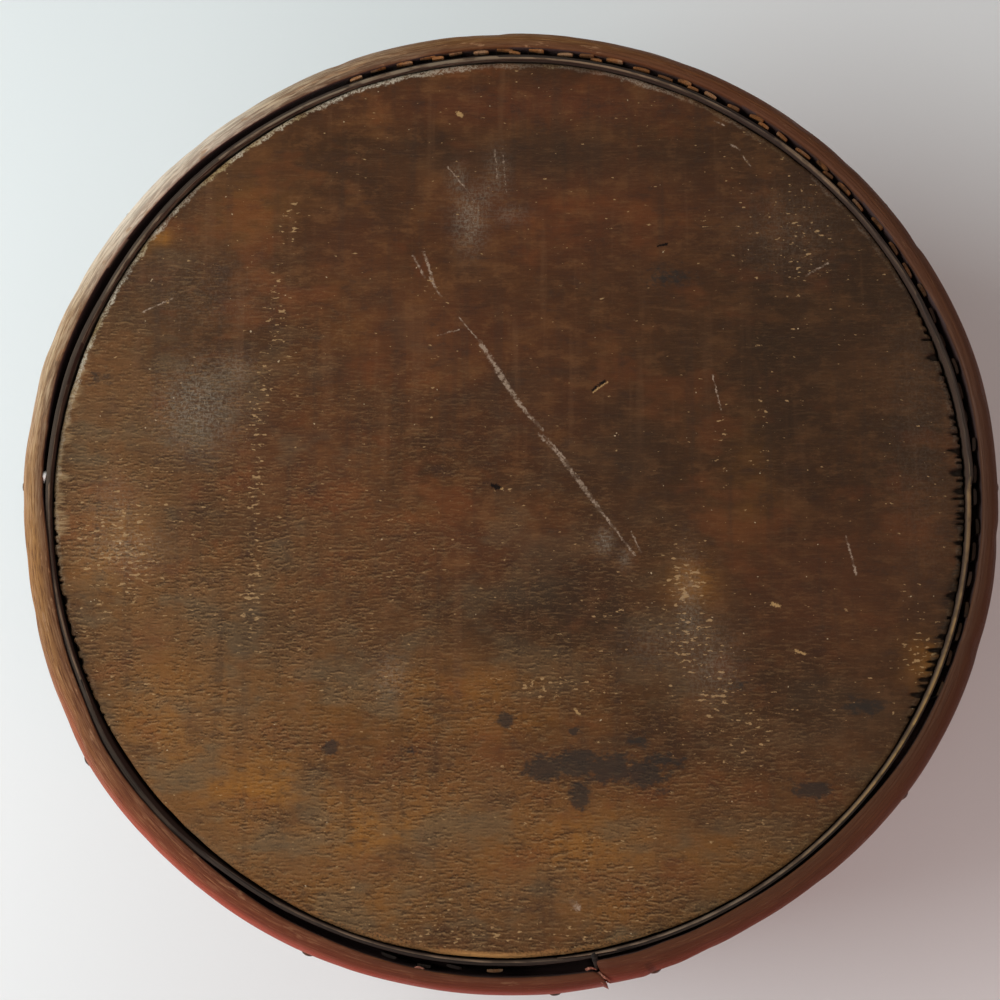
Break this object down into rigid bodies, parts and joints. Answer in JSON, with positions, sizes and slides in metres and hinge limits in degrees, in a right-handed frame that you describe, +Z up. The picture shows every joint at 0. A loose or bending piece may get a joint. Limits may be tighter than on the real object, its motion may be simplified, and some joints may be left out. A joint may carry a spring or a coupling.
{
  "type": "round bentwood cheese box",
  "caption": "Round bentwood cheese box with a lift-off lid: a recessed plank board in a thin bent rim, bound by a thick nailed hoop, over a bent side with a hooped base.",
  "frame": {"origin": "on the floor under the middle of the box", "axes": "+Z up through the middle of the base and lid, the way the lid lifts; +X to the right of the picture along the grain of the lid board, +Y to its top"},
  "size_m": [0.3822, 0.3816, 0.15],
  "materials": {
    "lid_board_wood": "dark stained, dry and worn",
    "bent_strip_wood": "dark stained, worn",
    "split_cane": "bare split cane",
    "hoop_wood": "red-brown stain, satin and worn",
    "side_wood": "dark stained, satin",
    "base_board_wood": "bare, dry",
    "iron": "dark, rusted"
  },
  "bodies": {
    "box": {"body_wall": "side_wood", "body_wall_tacks": "iron", "base_board": "base_board_wood", "base_hoop": "hoop_wood", "base_hoop_nails": "iron"},
    "lid": {"lid_board": "lid_board_wood", "lid_rim": "bent_strip_wood", "lid_rim_tacks": "iron", "lid_splints": "split_cane", "lid_hoop": "hoop_wood", "lid_hoop_nails": "iron"}
  },
  "joints": [
    {"name": "lid_lift", "type": "slide", "parent": "box", "child": "lid", "axis": [0, 0, 1], "range_m": [0, 0.08]}
  ]
}
